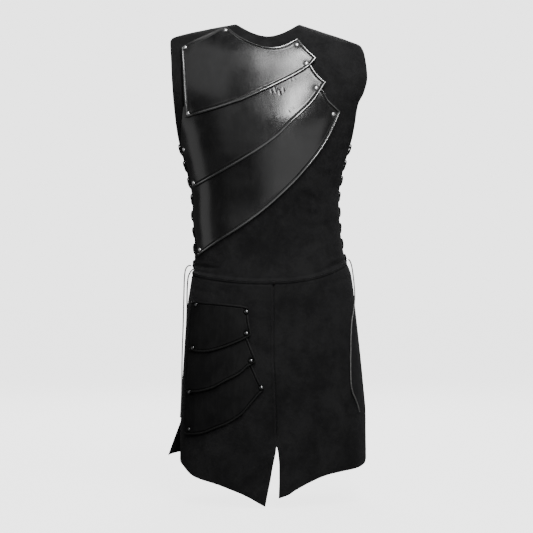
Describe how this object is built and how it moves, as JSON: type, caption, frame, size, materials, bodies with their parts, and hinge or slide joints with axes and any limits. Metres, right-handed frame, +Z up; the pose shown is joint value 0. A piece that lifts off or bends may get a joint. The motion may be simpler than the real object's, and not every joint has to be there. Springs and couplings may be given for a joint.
{
  "type": "sleeveless leather jerkin",
  "caption": "Sleeveless suede jerkin in its worn form: round neck, laced sides, overlapping leather plates across chest and hip, waist seam and slit skirt with a pointed hem.",
  "frame": {"origin": "midway between the two shoulders, at the height where they carry the garment", "axes": "+Z up along the worn garment's length, -Y out of the front, +X to the right of a viewer who looks at the front"},
  "size_m": [0.435, 0.3102, 1.0444],
  "materials": {
    "suede": "black suede, matt and slightly cloudy",
    "leather": "black smooth leather with a waxed shine",
    "hip_leather": "black smooth leather, dull",
    "lace": "round black leather cord",
    "rivet": "domed polished metal"
  },
  "bodies": {
    "root": {"front_body": "suede", "back_body": "suede", "skirt_front_left": "suede", "skirt_front_right": "suede", "skirt_back": "suede", "chest_plate_top": "leather", "chest_plate_middle": "leather", "chest_plate_bottom": "leather", "hip_plate_top": "hip_leather", "hip_plate_middle": "hip_leather", "hip_plate_bottom": "hip_leather", "chest_rivet_01": "rivet", "chest_rivet_02": "rivet", "chest_rivet_03": "rivet", "chest_rivet_04": "rivet", "chest_rivet_05": "rivet", "chest_rivet_06": "rivet", "chest_rivet_07": "rivet", "chest_rivet_08": "rivet", "chest_rivet_09": "rivet", "chest_rivet_10": "rivet", "hip_rivet_01": "rivet", "hip_rivet_02": "rivet", "hip_rivet_03": "rivet", "hip_rivet_04": "rivet", "hip_rivet_05": "rivet", "hip_rivet_06": "rivet", "hip_rivet_07": "rivet", "hip_rivet_08": "rivet", "lace_left": "lace", "lace_right": "lace", "lace_knot_left": "lace", "lace_knot_right": "lace", "lace_end_left_front": "lace", "lace_end_left_back": "lace", "lace_end_right_front": "lace"}
  },
  "joints": []
}
